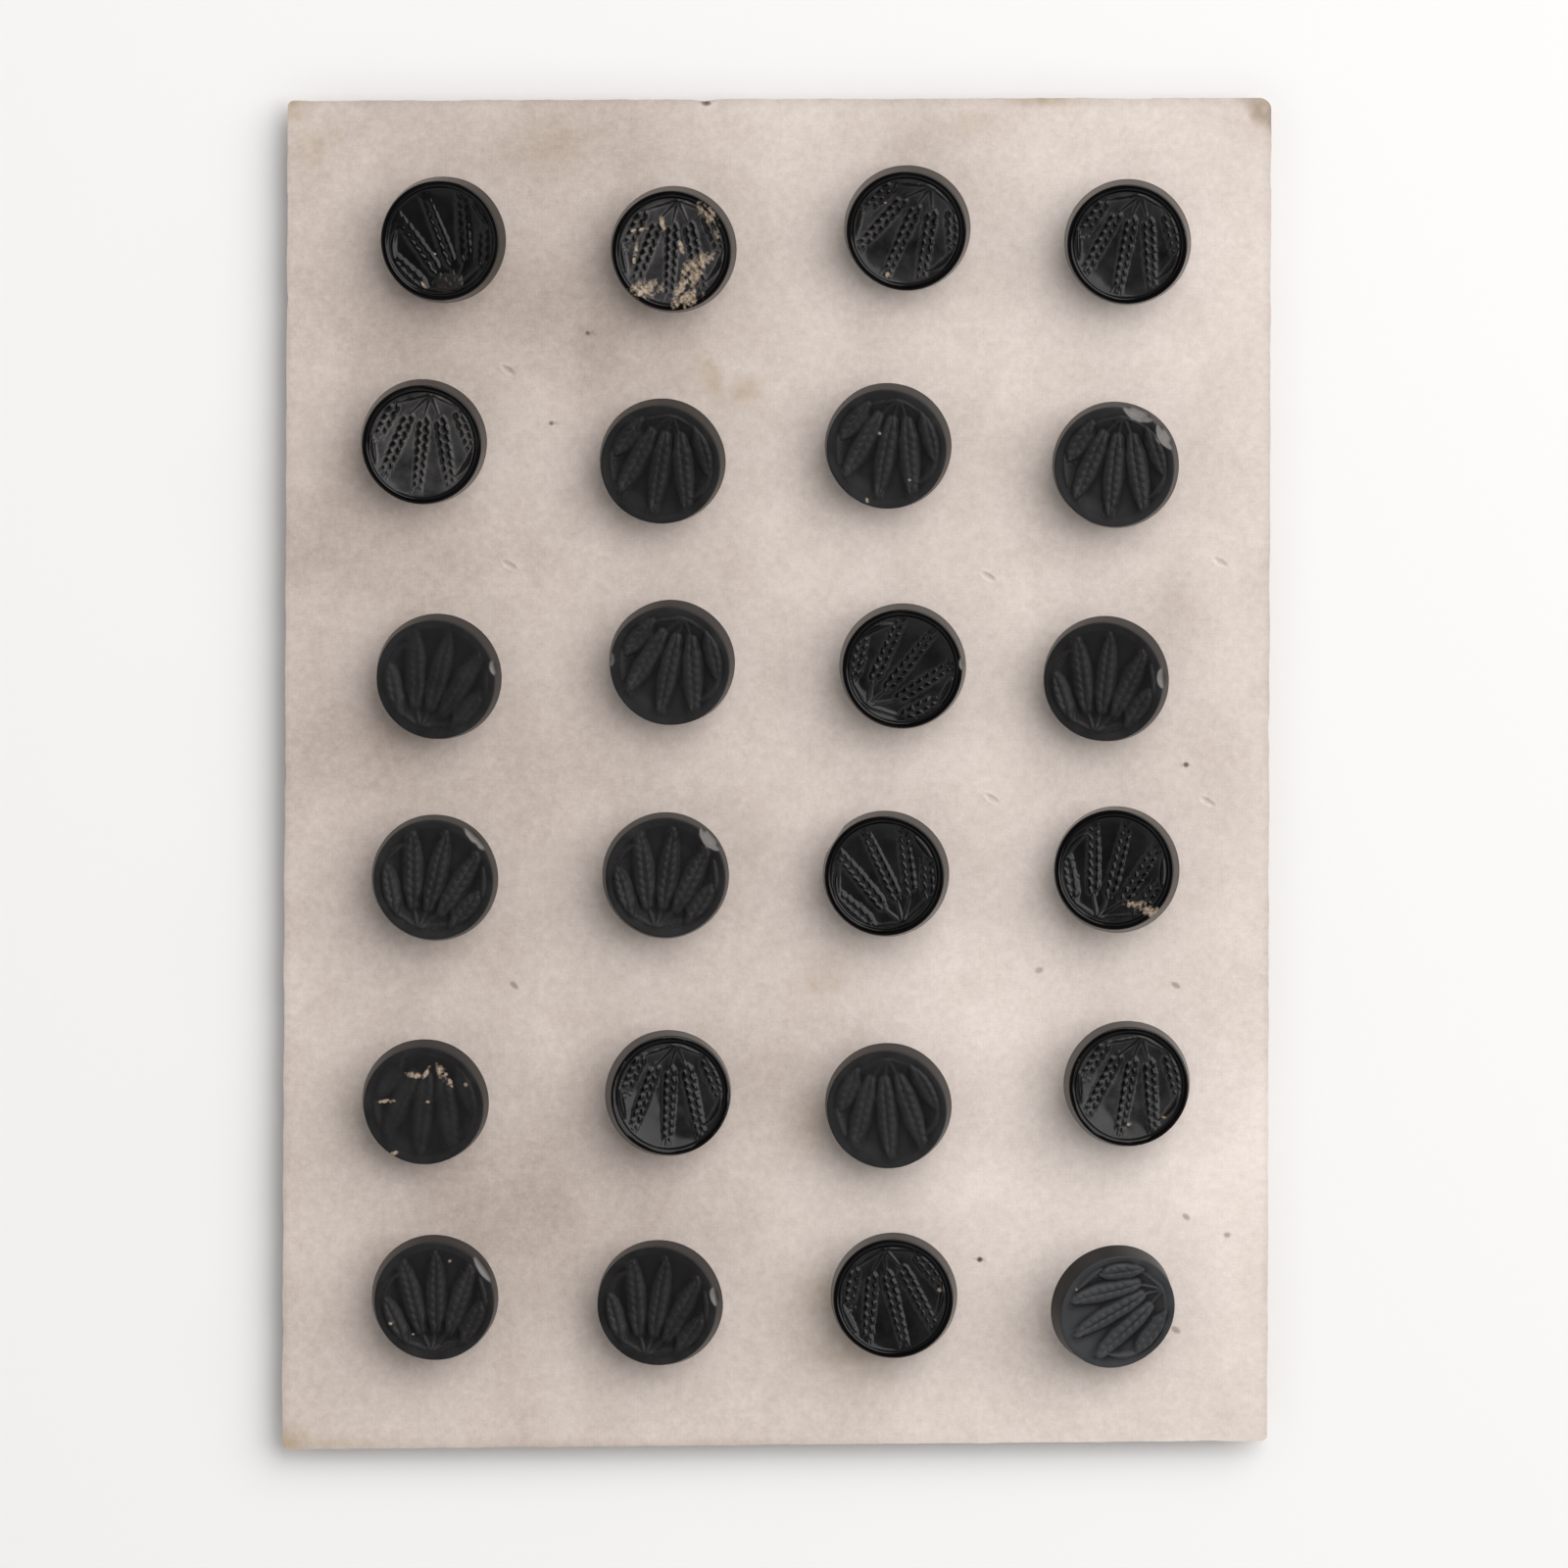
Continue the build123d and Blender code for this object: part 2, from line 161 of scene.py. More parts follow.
# Broad clouds of darker and lighter card, partly painted shade and light where the warped card faces away from the
# light and towards it, as stains are given, with how much lighter
CLOUDS = [(-29.0, 58.0, 9.0, 20.0, 90, -0.26), (-27.0, 80.0, 12.0, 6.0, 0, -0.22), (15.8, 79.3, 9.0, 5.0, 0, -0.14),
          (-57.0, 28.0, 7.0, 20.0, 90, -0.22), (-29.0, -56.0, 10.0, 14.0, 90, -0.24), (-4.0, -38.0, 9.0, 7.0, 0, -0.14),
          (50.5, 19.7, 6.0, 6.0, 0, -0.16), (56.0, 0.0, 8.0, 8.0, 0, -0.10), (-57.0, 2.0, 6.0, 14.0, 90, -0.18),
          (-29.0, 0.0, 9.0, 16.0, 90, -0.12), (58.0, -50.0, 12.0, 36.0, 90, 0.20), (58.0, 66.0, 12.0, 20.0, 90, 0.10),
          (30.0, -28.0, 12.0, 10.0, 0, 0.10), (23.3, 2.4, 6.0, 5.0, 0, 0.06), (2.0, 74.0, 8.0, 8.0, 0, 0.06)]


def linear(hex_colour):
    """Gives the linear RGBA of an sRGB hex colour."""
    parts = [int(hex_colour[i:i + 2], 16) / 255 for i in (1, 3, 5)]
    return tuple(p / 12.92 if p <= 0.04045 else ((p + 0.055) / 1.055) ** 2.4 for p in parts) + (1.0,)


def add(tree, kind, inputs=None, **settings):
    """Adds a node with its settings, and with each input set to a value or linked from an output."""
    node = tree.nodes.new(kind)
    for key, value in settings.items():
        setattr(node, key, value)
    for key, value in (inputs or {}).items():
        if isinstance(value, bpy.types.NodeSocket):
            tree.links.new(value, node.inputs[key])
        else:
            node.inputs[key].default_value = value
    return node


def new_material(name):
    """Gives an empty material's tree and its Principled shader."""
    material = bpy.data.materials.new(name)
    material.use_nodes = True
    tree = material.node_tree
    shader = next(n for n in tree.nodes if n.type == "BSDF_PRINCIPLED")
    return material, tree, shader


def ripples(x, y, wavelength, seed):
    """Gives a gentle unevenness of about that wavelength, mostly from -1 to 1."""
    draw = np.random.default_rng(seed)
    total = np.zeros(np.shape(x))
    for _ in range(8):
        way = draw.uniform(0, 2 * math.pi)
        pitch = wavelength * draw.uniform(0.7, 1.5)
        total += np.sin((x * math.cos(way) + y * math.sin(way)) * 2 * math.pi / pitch + draw.uniform(0, 2 * math.pi))
    return total / 3.2


def ease(start, end, value):
    """Goes smoothly from 0 at start to 1 at end."""
    share = np.clip((value - start) / (end - start), 0, 1)
    return share * share * (3 - 2 * share)


def patch(x, y, place):
    """Gives 1 in the middle of an oval patch, falling to 0 well outside it."""
    middle_x, middle_y, half_length, half_width, way = place
    c, s = math.cos(math.radians(way)), math.sin(math.radians(way))
    along = ((x - middle_x) * c + (y - middle_y) * s) / half_length
    across = (-(x - middle_x) * s + (y - middle_y) * c) / half_width
    return np.exp(-0.7 * (along ** 2 + across ** 2))


def ridge(x, y, start, end, half_width, height):
    """Gives the height of a thin rounded ridge that tapers off towards its end."""
    run = np.array(end) - np.array(start)
    share = np.clip(((x - start[0]) * run[0] + (y - start[1]) * run[1]) / (run @ run), 0, 1)
    away = np.hypot(x - start[0] - run[0] * share, y - start[1] - run[1] * share)
    width = half_width * (1 - 0.55 * share)
    return height * (1 - 0.4 * share) * np.clip(1 - (away / width) ** 2, 0, 1)


def press_ear(x, y, foot, tip, seed, finish):
    """Gives the height of one ear: a low body, two staggered rows of grains, and their beards."""
    draw = np.random.default_rng(seed)
    foot, tip = np.array(foot) * RIM_RADIUS, np.array(tip) * RIM_RADIUS
    length = np.hypot(*(tip - foot))
    way = (tip - foot) / length
    left = np.array((-way[1], way[0]))
    t = (x - foot[0]) * way[0] + (y - foot[1]) * way[1]
    s = (x - foot[0]) * left[0] + (y - foot[1]) * left[1]
    share = np.clip(t / length, 0, 1)
    half = EAR_HALF_WIDTH * finish["breadth"] * np.interp(share, [0, 0.2, 0.6, 0.85, 1], [0.6, 1.0, 0.95, 0.7, 0.25])
    past = np.maximum(np.maximum(-t, t - length), 0)
    body = finish["body"] * np.clip(1 - (np.hypot(s, past) / half) ** finish["shoulder"], 0, 1)
    # A shallow groove runs up the middle
    body = body - 0.3 * body * np.exp(-(s / 0.13) ** 2)
    grains = np.zeros(np.shape(x))
    beards = np.zeros(np.shape(x))
    for side in (1, -1):
        at = FIRST_GRAIN if side > 0 else FIRST_GRAIN + GRAIN_PITCH / 2
        while at < length - 0.25:
            size = np.interp(at / length, [0, 0.15, 0.6, 1], [0.85, 1.0, 0.85, 0.58]) * draw.uniform(0.94, 1.06)
            middle = side * (0.24 + 0.28 * size)
            splay = math.radians(GRAIN_SPLAY + draw.uniform(-4, 4)) * side
            u = (t - at) * math.cos(splay) + (s - middle) * math.sin(splay)
            v = -(t - at) * math.sin(splay) + (s - middle) * math.cos(splay)
            long = GRAIN_LENGTH * size
            wide = GRAIN_WIDTH * size * (1 - 0.28 * np.clip(u / GRAIN_LENGTH, -1, 1))
            oval = np.clip(1 - (u / long) ** 2 - (v / wide) ** 2, 0, 1)
            grains = np.maximum(grains, finish["grain"] * size * oval ** finish["top"])
            root = (at + long * math.cos(splay) * 0.8, middle + long * math.sin(splay) * 0.8)
            lean = math.radians(9 + draw.uniform(-3, 3)) * side
            reach = 1.5 * size * draw.uniform(0.9, 1.2)
            end = (root[0] + reach * math.cos(lean), root[1] + reach * math.sin(lean))
            beards = np.maximum(beards, ridge(t, s, root, end, BEARD_HALF_WIDTH, finish["beard"]))
            at += GRAIN_PITCH * size ** 0.35
    # Four bristles stand past the tip
    for bristle in (-11, -4, 4, 11):
        lean = math.radians(bristle + draw.uniform(-2, 2))
        reach = draw.uniform(1.1, 1.8)
        start = (length - 0.5, bristle * 0.012)
        end = (start[0] + reach * math.cos(lean), start[1] + reach * math.sin(lean))
        beards = np.maximum(beards, ridge(t, s, start, end, BEARD_HALF_WIDTH, finish["beard"] * 0.9))
    return np.maximum(body + grains, beards)


def press_leaf(x, y, points):
    """Gives the height of one creased blade that curves from its first point to its last."""
    a, b, c = [np.array(p) * RIM_RADIUS for p in points]
    height = np.zeros(np.shape(x))
    for step in range(LEAF_STEPS):
        share = (step + 0.5) / LEAF_STEPS
        at = a * (1 - share) ** 2 + 2 * b * share * (1 - share) + c * share ** 2
        half = LEAF_HALF_WIDTH * math.sin(math.pi * min(share * 0.8 + 0.15, 1)) ** 0.8
        away = np.hypot(x - at[0], y - at[1])
        height = np.maximum(height, LEAF_HEIGHT * np.clip(1 - (away / half) ** 2, 0, 1) ** 0.7)
    return height


def press_wheat(x, y, finish):
    """Gives the height of the whole relief above the floor."""
    height = np.zeros(np.shape(x))
    for number, (foot, tip) in enumerate(EARS):
        height = np.maximum(height, press_ear(x, y, foot, tip, 40 + number, finish))
        stem_foot, stem_top = np.array(STEM_FOOT) * RIM_RADIUS, np.array(foot) * RIM_RADIUS
        height = np.maximum(height, ridge(x, y, stem_foot, stem_top, STEM_HALF_WIDTH, STEM_HEIGHT))
    for points in LEAVES:
        height = np.maximum(height, press_leaf(x, y, points))
    # It dies away just inside the rim
    return height * (1 - ease(6.35, 6.62, np.hypot(x, y)))


def glass_grid():
    """Gives the blank of a button: rings of points that close into a disc, and the faces between them."""
    radii = [FLOOR_RADIUS * k / (GLASS_RINGS + 0.5) for k in range(GLASS_RINGS + 1)]
    # The floor is dished, and turns up most of all near its edge
    shares = [r / FLOOR_RADIUS for r in radii]
    heights = [FLOOR_HEIGHT + (FLOOR_EDGE_HEIGHT - FLOOR_HEIGHT) * (0.75 * t ** 2 + 0.25 * t ** 8) for t in shares]
    radii += [r for r, z in BORDER]
    heights += [z for r, z in BORDER]
    rings = len(radii) - 1
    side = 2 * rings + 1
    i, j = np.meshgrid(np.arange(-rings, rings + 1), np.arange(-rings, rings + 1), indexing="ij")
    ring = np.maximum(abs(i), abs(j))
    wide = abs(i) >= abs(j)
    with np.errstate(divide="ignore", invalid="ignore"):
        turn = np.where(wide, math.pi / 4 * j / i, math.pi / 2 - math.pi / 4 * i / j)
    turn = np.where((wide & (i < 0)) | (~wide & (j < 0)), turn + math.pi, turn)
    turn[rings, rings] = 0
    radius = np.array(radii)[ring]
    points = np.stack([radius * np.cos(turn), radius * np.sin(turn), np.array(heights)[ring]], -1).reshape(-1, 3)
    index = np.arange(side * side).reshape(side, side)
    faces = np.stack([index[:-1, :-1], index[1:, :-1], index[1:, 1:], index[:-1, 1:]], -1).reshape(-1, 4).tolist()
    rim = [index[k, 0] for k in range(side - 1)] + [index[-1, k] for k in range(side - 1)]
    rim += [index[k, -1] for k in range(side - 1, 0, -1)] + [index[0, k] for k in range(side - 1, 0, -1)]
    rim = [int(k) for k in rim]
    rim_turn = np.arctan2(points[rim, 1], points[rim, 0])
    count = len(rim)
    last = rim
    for radius, height in WALL:
        start = len(points)
        ring_points = np.stack([radius * np.cos(rim_turn), radius * np.sin(rim_turn), np.full(count, height)], -1)
        points = np.concatenate([points, ring_points])
        fresh = list(range(start, start + count))
        faces += [(last[k], fresh[k], fresh[(k + 1) % count], last[(k + 1) % count]) for k in range(count)]
        last = fresh
    points = np.concatenate([points, [(0, 0, PLATE_RECESS)]])
    middle = len(points) - 1
    faces += [(last[k], middle, last[(k + 1) % count]) for k in range(count)]
    return points, faces, side


def blurred(values, times):
    """Gives a square grid of values, each averaged with its neighbours a number of times."""
    for _ in range(times):
        padded = np.pad(values, 1, mode="edge")
        beside = padded[:-2, 1:-1] + padded[2:, 1:-1] + padded[1:-1, :-2] + padded[1:-1, 2:]
        values = (values * 2 + beside) / 6
    return values


def back_plane(node):
    """Gives the middle of a CAD button's flat back and the way its front faces."""
    sums = {}
    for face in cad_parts[node].data.polygons:
        key = tuple(round(c, 2) for c in face.normal)
        area, middle, normal = sums.get(key, (0.0, Vector(), Vector()))
        sums[key] = (area + face.area, middle + face.center * face.area, normal + face.normal * face.area)
    area, middle, normal = max((v for k, v in sums.items() if k[2] < -0.5), key=lambda v: v[0])
    return middle / area / MM, -normal.normalized()


def add_mesh(name, points, faces, attributes, material):
    """Makes a smooth-shaded piece from points in millimetres, with numbers at each point for its material."""
    mesh = bpy.data.meshes.new(name)
    mesh.from_pydata((np.asarray(points) * MM).tolist(), [], faces)
    for key, values in attributes.items():
        mesh.attributes.new(key, "FLOAT", "POINT").data.foreach_set("value", np.asarray(values, dtype=np.float32))
    mesh.shade_smooth()
    mesh.materials.append(material)
    piece = bpy.data.objects.new(name, mesh)
    bpy.context.scene.collection.objects.link(piece)
    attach(piece, "root")
    return piece


def seed_of(name):
    """Gives each button a seed of its own, for its unevenness and its crust."""
    return int(name[1]) * 10 + int(name[3])


def dirt_marks(name, relief, radius):
    """Gives how much brown dirt and painted shade lie in the hollows, dust in the creases and film of dust at each
    point, and where the wall is.
    """
    top = relief.size
    hollow, crease, film = np.zeros(len(radius)), np.zeros(len(radius)), np.zeros(len(radius))
    # Where the relief is lower than round about, brown dirt and painted shade lie in the hollows, and dust in the fine
    # creases
    hollow[:top] = np.clip((blurred(relief, 60) - relief) / 0.14, 0, 1).reshape(-1)
    crease[:top] = np.clip((blurred(relief, 3) - relief) / 0.035, 0, 1).reshape(-1)
    # The film lies on the floor between the ears. On dull glass it paints that low floor darker, as painted shade with
    # some dirt
    low, high = (0.05, 0.32) if BUTTONS[name][1] else (0.11, 0.19)
    film[:top] = (1 - ease(low, high, relief.reshape(-1))) * (1 - ease(6.5, 6.66, radius[:top]))
    dusty = FILM.get(name, 1.0)
    return {"hollow": hollow, "crease": crease * (0.4 + 0.6 * dusty), "film": film * dusty,
            "wall": ease(7.5, 7.6, radius)}


def press_face(name, points, relief):
    """Raises the relief on a blank's points, and leaves the glass as uneven as it sets."""
    top = relief.size
    seed = seed_of(name)
    x, y = points[:, 0].copy(), points[:, 1].copy()
    radius = np.hypot(x, y)
    points[:top, 2] += relief.reshape(-1)
    if BUTTONS[name][1]:
        # A worn mould and long rubbing leave no step inside the rim, only a broad soft slope
        worn = 3.40 + 0.48 * ease(4.4, 7.2, radius[:top])
        points[:top, 2] += (worn - points[:top, 2] + relief.reshape(-1)) * (1 - ease(7.0, 7.3, radius[:top]))
    # Glass that set in a worn mould is never quite flat or round
    waver = ripples(x, y, 2.6, seed) * 0.012 + ripples(x, y, 6.5, seed + 60) * 0.022
    points[:top, 2] += (waver * (radius < 7.3))[:top]
    swell = 1 + (ripples(x, y, 9.0, seed + 90) * 0.003) * (radius > 7)
    points[:, 0] *= swell
    points[:, 1] *= swell


def break_rim(name, points, local_way):
    """Cuts the flat and the chips into a button's points, and gives how pale the break is at each: worn paler, and on a
    chip also a painted highlight.
    """
    pale_break_and_highlight = np.zeros(len(points))
    if name in FLATS:
        way = local_way(FLATS[name])
        past = points[:, 0] * way[0] + points[:, 1] * way[1] - TRIM_AT
        past = np.clip(past, 0, None)
        points[:, 0] -= way[0] * past
        points[:, 1] -= way[1] * past
        # An old flat is only a little paler than the wall
        pale_break_and_highlight = np.maximum(pale_break_and_highlight, (past > 0.01) * 0.35)
    for chip_way, bite, depth in CHIPS.get(name, []):
        way = local_way(chip_way)
        lift = (bite - depth) * math.sqrt(0.5)
        # Glass breaks in a shell, a part of a ball with its middle outside the rim
        centre = np.array((*(way * (RIM_RADIUS + lift)), BUTTON_HEIGHT + lift))
        rays = points - centre
        away = np.linalg.norm(rays, axis=1)
        uneven = ripples(points[:, 0] * 2, points[:, 2] * 3 + points[:, 1], 2.0, seed_of(name) + 7)
        edge = bite * (1 + 0.008 * uneven)
        inside = away < edge
        points[inside] = centre + rays[inside] / np.maximum(away[inside], 1e-6)[:, None] * edge[inside][:, None]
        # A chip is painted pale: partly worn glass, partly a painted highlight
        pale_break_and_highlight = np.maximum(pale_break_and_highlight, np.clip((edge - away) / 0.2 + 0.5, 0, 1) * (points[:, 2] > 1.0))
    return pale_break_and_highlight


def crust_over(name, points, x, y, top):
    """Lays old paste and a lump of glue on the front, and gives how much of each is at each point."""
    turn, seed = math.radians(BUTTONS[name][0]), seed_of(name)
    # A crust's place is given on the card, so the points are turned from the wheat's axes to the card's
    c, s = math.cos(turn), math.sin(turn)
    card_x, card_y = x * c - y * s, x * s + y * c
    # It clings in the hollows, and has flaked off in streaks
    streaks = 0.74 + 0.26 * ripples(card_x, card_y, 1.5, seed + 5) + 0.24 * ripples(card_x, card_y, 0.6, seed + 6)
    crumbs = 0.5 + 0.5 * ripples(card_x, card_y, 0.8, seed + 3)
    crust, lump = np.zeros(len(points)), np.zeros(len(points))
    for place in CRUSTS.get(name, []):
        crust = np.maximum(crust, patch(card_x, card_y, place) * (streaks if place[2] > 0.5 else 0.85))
    crust = crust * (np.hypot(x, y) < 7.6)
    for place in LUMPS.get(name, []):
        lump = np.maximum(lump, ease(0.35, 0.6, patch(card_x, card_y, place) * (0.85 + 0.3 * crumbs)))
    points[:top, 2] += (ease(0.3, 0.7, crust) * (0.02 + 0.06 * crumbs) + lump * (0.14 + 0.10 * crumbs))[:top]
    return crust, lump


def press_button(name, blank, faces, wheat, materials):
    """Makes one button on its CAD place, with its own wear, flat, chips and crust."""
    turn, dull, wear = BUTTONS[name]
    x, y = blank[:, 0], blank[:, 1]
    relief = blurred(wheat[dull], int(wear * WORN_ROUNDS)) * (1 - wear * WORN_LOSS)
    points = blank.copy()
    press_face(name, points, relief)

    middle, outwards = back_plane("button_" + name)
    tip_over = Vector((0, 0, 1)).rotation_difference(outwards)
    along_x = tip_over @ Vector((math.cos(math.radians(turn)), math.sin(math.radians(turn)), 0))
    along_y = outwards.cross(along_x)

    def local_way(way):
        """Gives a way on the card in the button's own axes."""
        level = tip_over @ Vector((math.cos(math.radians(way)), math.sin(math.radians(way)), 0))
        return np.array((level.dot(along_x), level.dot(along_y)))

    marks = dirt_marks(name, relief, np.hypot(x, y))
    marks["pale_break_and_highlight"] = break_rim(name, points, local_way)
    marks["crust"], marks["lump"] = crust_over(name, points, x, y, relief.size)
    marks["dust"] = np.full(len(points), DUST.get(name, 0.0))
    placed = (np.array(middle)[None, :] + points[:, :1] * np.array(along_x)[None, :]
              + points[:, 1:2] * np.array(along_y)[None, :] + points[:, 2:] * np.array(outwards)[None, :])
    slot = "dull_glass" if dull else "polished_glass"
    piece = add_mesh("pressed_button_" + name, placed, faces, marks, materials[slot])
    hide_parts("button_" + name)
    return middle, outwards


def glass_material(name, slot):
    """Black glass, pressed in a mould. Polished, it is a black mirror on its grains and rim, where it is handled,
    with a grey film of dust on the floor between. Dull, rubbing has ground its face to a charcoal satin, and
    brown dirt and painted shade darken its gaps and floor. Its breaks are painted paler, as worn glass and, on the
    chips, as a painted highlight. The edge was ground to size, so it scatters more light than the face."""
    material, tree, shader = new_material(name)
    dull = slot == "dull_glass"
    place = add(tree, "ShaderNodeTexCoord").outputs["Object"]
    marks = {mark: add(tree, "ShaderNodeAttribute", attribute_name=mark).outputs["Fac"]
             for mark in ("hollow", "crease", "film", "wall", "pale_break_and_highlight", "crust", "lump", "dust")}
    # Dust and rubbing lie in clouds about 4 mm across, with grit of about 0.35 mm
    cloud = add(tree, "ShaderNodeTexNoise", {"Vector": place, "Scale": 1000 / 4.0, "Detail": 5.0, "Roughness": 0.65})
    grit = add(tree, "ShaderNodeTexNoise", {"Vector": place, "Scale": 1000 / 0.35, "Detail": 3.0, "Roughness": 0.7})
    cloudy = add(tree, "ShaderNodeMapRange", {"Value": cloud.outputs["Fac"], 1: 0.35, 2: 0.68}).outputs[0]
    gritty = add(tree, "ShaderNodeMapRange", {"Value": grit.outputs["Fac"], 1: 0.38, 2: 0.72}).outputs[0]

    def tinted(below, amount, colour):
        """Lays a colour over the one below, as thickly as amount says."""
        return add(tree, "ShaderNodeMix", {"Factor": amount, 6: below, 7: colour}, data_type="RGBA").outputs[2]

    def strength(*factors):
        """Multiplies amounts together."""
        amount = factors[0]
        for factor in factors[1:]:
            both = add(tree, "ShaderNodeMath", {0: amount, 1: factor}, operation="MULTIPLY", use_clamp=True)
            amount = both.outputs[0]
        return amount

    if dull:
        body = tinted(linear("#1d1c1d"), cloudy, linear("#29282a"))
        # Painted shade with some dirt: the low floor between the ears is darker
        body = tinted(body, strength(marks["film"], 0.7), linear("#171517"))
        body = tinted(body, strength(marks["dust"], 0.5), linear("#4b4d50"))
        body = tinted(body, strength(marks["crease"], gritty, 0.6), linear("#504a47"))
        # Painted shade with brown dirt: the hollows between the ears go near black
        body = tinted(body, strength(marks["hollow"], 0.9), linear("#070403"))
        body = tinted(body, strength(marks["wall"], 0.85), linear("#2b2826"))
    else:
        thickness = add(tree, "ShaderNodeMapRange", {"Value": cloud.outputs["Fac"], 1: 0.30, 2: 0.72, 3: 0.10, 4: 1.0})
        body = tinted(linear("#040202"), strength(marks["film"], thickness.outputs[0], 0.9), linear("#4c4b4d"))
        body = tinted(body, strength(marks["crease"], marks["film"], thickness.outputs[0], 0.85), linear("#6e6965"))
        body = tinted(body, strength(marks["wall"], 0.85), linear("#1c1816"))
    # Breaks are painted paler grey: worn glass, and on the chips a painted highlight as well
    body = tinted(body, marks["pale_break_and_highlight"], linear("#76726f"))
    body = tinted(body, marks["lump"], linear("#1a1311"))
    # Paste breaks up at its edge into crumbs of about 0.3 mm
    ragged = add(tree, "ShaderNodeMath", {0: grit.outputs["Fac"], 1: 0.7, 2: marks["crust"]}, operation="MULTIPLY_ADD")
    pasted = add(tree, "ShaderNodeMapRange", {"Value": ragged.outputs[0], 1: 0.68, 2: 1.05, 4: 0.88}).outputs[0]
    paste = tinted(linear("#8a7460"), gritty, linear("#cdbda8"))
    body = tinted(body, pasted, paste)
    tree.links.new(body, shader.inputs["Base Color"])
    low, high = (0.42, 0.55) if dull else (0.05, 0.10)
    rough = add(tree, "ShaderNodeMapRange", {"Value": cloudy, 3: low, 4: high}).outputs[0]
    layers = [(marks["wall"], 0.36 if dull else 0.24), (marks["pale_break_and_highlight"], 0.26), (marks["lump"], 0.40), (pasted, 0.9)]
    if not dull:
        layers.insert(0, (strength(marks["film"], 0.7), 0.33))
    for amount, level in layers:
        rough = add(tree, "ShaderNodeMix", {"Factor": amount, 2: rough, 3: level}).outputs[0]
    tree.links.new(rough, shader.inputs["Roughness"])
    shader.inputs["IOR"].default_value = 1.52
    # Fine scratches, and the pits of a ground face, trap some of what it would mirror
    shader.inputs["Specular IOR Level"].default_value = 0.18 if dull else 0.29
    bump = add(tree, "ShaderNodeBump", {"Strength": 0.3 if dull else 0.06, "Distance": 0.03 * MM,
                                        "Height": grit.outputs["Fac"]})
    tree.links.new(bump.outputs["Normal"], shader.inputs["Normal"])
    return material


def cut_outline():
    """Gives the card's outline as a ring of points, cut by hand and blunted at the corners."""
    outline = []
    for number, (corner_x, corner_y, radius) in enumerate(CORNERS):
        before = Vector(CORNERS[number - 1][:2])
        after = Vector(CORNERS[(number + 1) % 4][:2])
        corner = Vector((corner_x, corner_y))
        diagonal = ((before - corner).normalized() + (after - corner).normalized()).normalized()
        centre = corner + diagonal * radius * math.sqrt(2)
        start = corner + (before - corner).normalized() * radius - centre
        end = corner + (after - corner).normalized() * radius - centre
        for step in range(CORNER_STEPS + 1):
            share = step / CORNER_STEPS
            spoke = (start * (1 - share) + end * share).normalized() * radius
            outline.append(centre + spoke)
    ring = []
    for number, point in enumerate(outline):
        following = outline[(number + 1) % len(outline)]
        count = max(1, round((following - point).length / (CARD_CELL * 0.8)))
        for step in range(count):
            ring.append(point.lerp(following, step / count))
    ring = np.array([tuple(p) for p in ring])
    # A knife and years of handling leave the edge a little uneven
    inset = 0.05 + 0.05 * ripples(ring[:, 0], ring[:, 1], 9.0, 5) + 0.03 * ripples(ring[:, 0], ring[:, 1], 2.5, 6)
    for nick_x, nick_y, half, depth in EDGE_NICKS:
        inset += depth * np.exp(-((ring[:, 0] - nick_x) ** 2 + (ring[:, 1] - nick_y) ** 2) / half ** 2)
    # A side is drawn in sideways, an end endways and a corner both ways
    on_side, on_end = abs(ring[:, 0]) > 61, abs(ring[:, 1]) > 84
    inwards = -np.stack([np.sign(ring[:, 0]) * on_side, np.sign(ring[:, 1]) * on_end], -1)
    return ring + inwards * np.clip(inset, -0.02, None)[:, None]


def scatter_points(ring, hole_places):
    """Gives the points inside the card's outline, closer together where it is dented or spotted."""
    draw = np.random.default_rng(11)
    fill = []
    # Rows of a triangular grid, so 0.87 of a cell apart and every other one shifted
    row = 0
    y = -CARD_REACH_Y
    while y < CARD_REACH_Y:
        shift = CARD_CELL / 2 if row % 2 else 0.0
        xs = np.arange(-CARD_REACH_X + shift, CARD_REACH_X, CARD_CELL)
        fill.append(np.stack([xs, np.full(len(xs), y)], -1) + draw.uniform(-0.08, 0.08, (len(xs), 2)))
        y += CARD_CELL * 0.87
        row += 1
    fill = np.concatenate(fill)
    spots = [(x, y, max(length, width) * 1.6) for x, y, length, width, way, amount in DENTS + SPOTS]
    for spot_x, spot_y, reach in spots:
        fill = fill[np.hypot(fill[:, 0] - spot_x, fill[:, 1] - spot_y) > reach]
    fine = []
    for spot_x, spot_y, reach in spots:
        steps = np.arange(-reach, reach + MARK_CELL, max(MARK_CELL, reach / 12))
        gx, gy = np.meshgrid(steps, steps)
        near = np.hypot(gx, gy) <= reach
        grid = np.stack([gx[near] + spot_x, gy[near] + spot_y], -1)
        fine.append(grid + draw.uniform(-0.01, 0.01, (near.sum(), 2)))
    fill = np.concatenate([fill] + fine)
    margin = np.full(len(fill), 9.0)
    for k in range(0, len(ring), 64):
        part = ring[k:k + 64]
        margin = np.minimum(margin, np.hypot(fill[:, :1] - part[:, 0], fill[:, 1:] - part[:, 1]).min(1))
    keep = (margin > CELL_CLEARANCE) & within(fill, ring)
    for place in hole_places:
        keep &= np.hypot(fill[:, 0] - place[0], fill[:, 1] - place[1]) > HOLE_RADIUS + CELL_CLEARANCE
    return fill[keep]


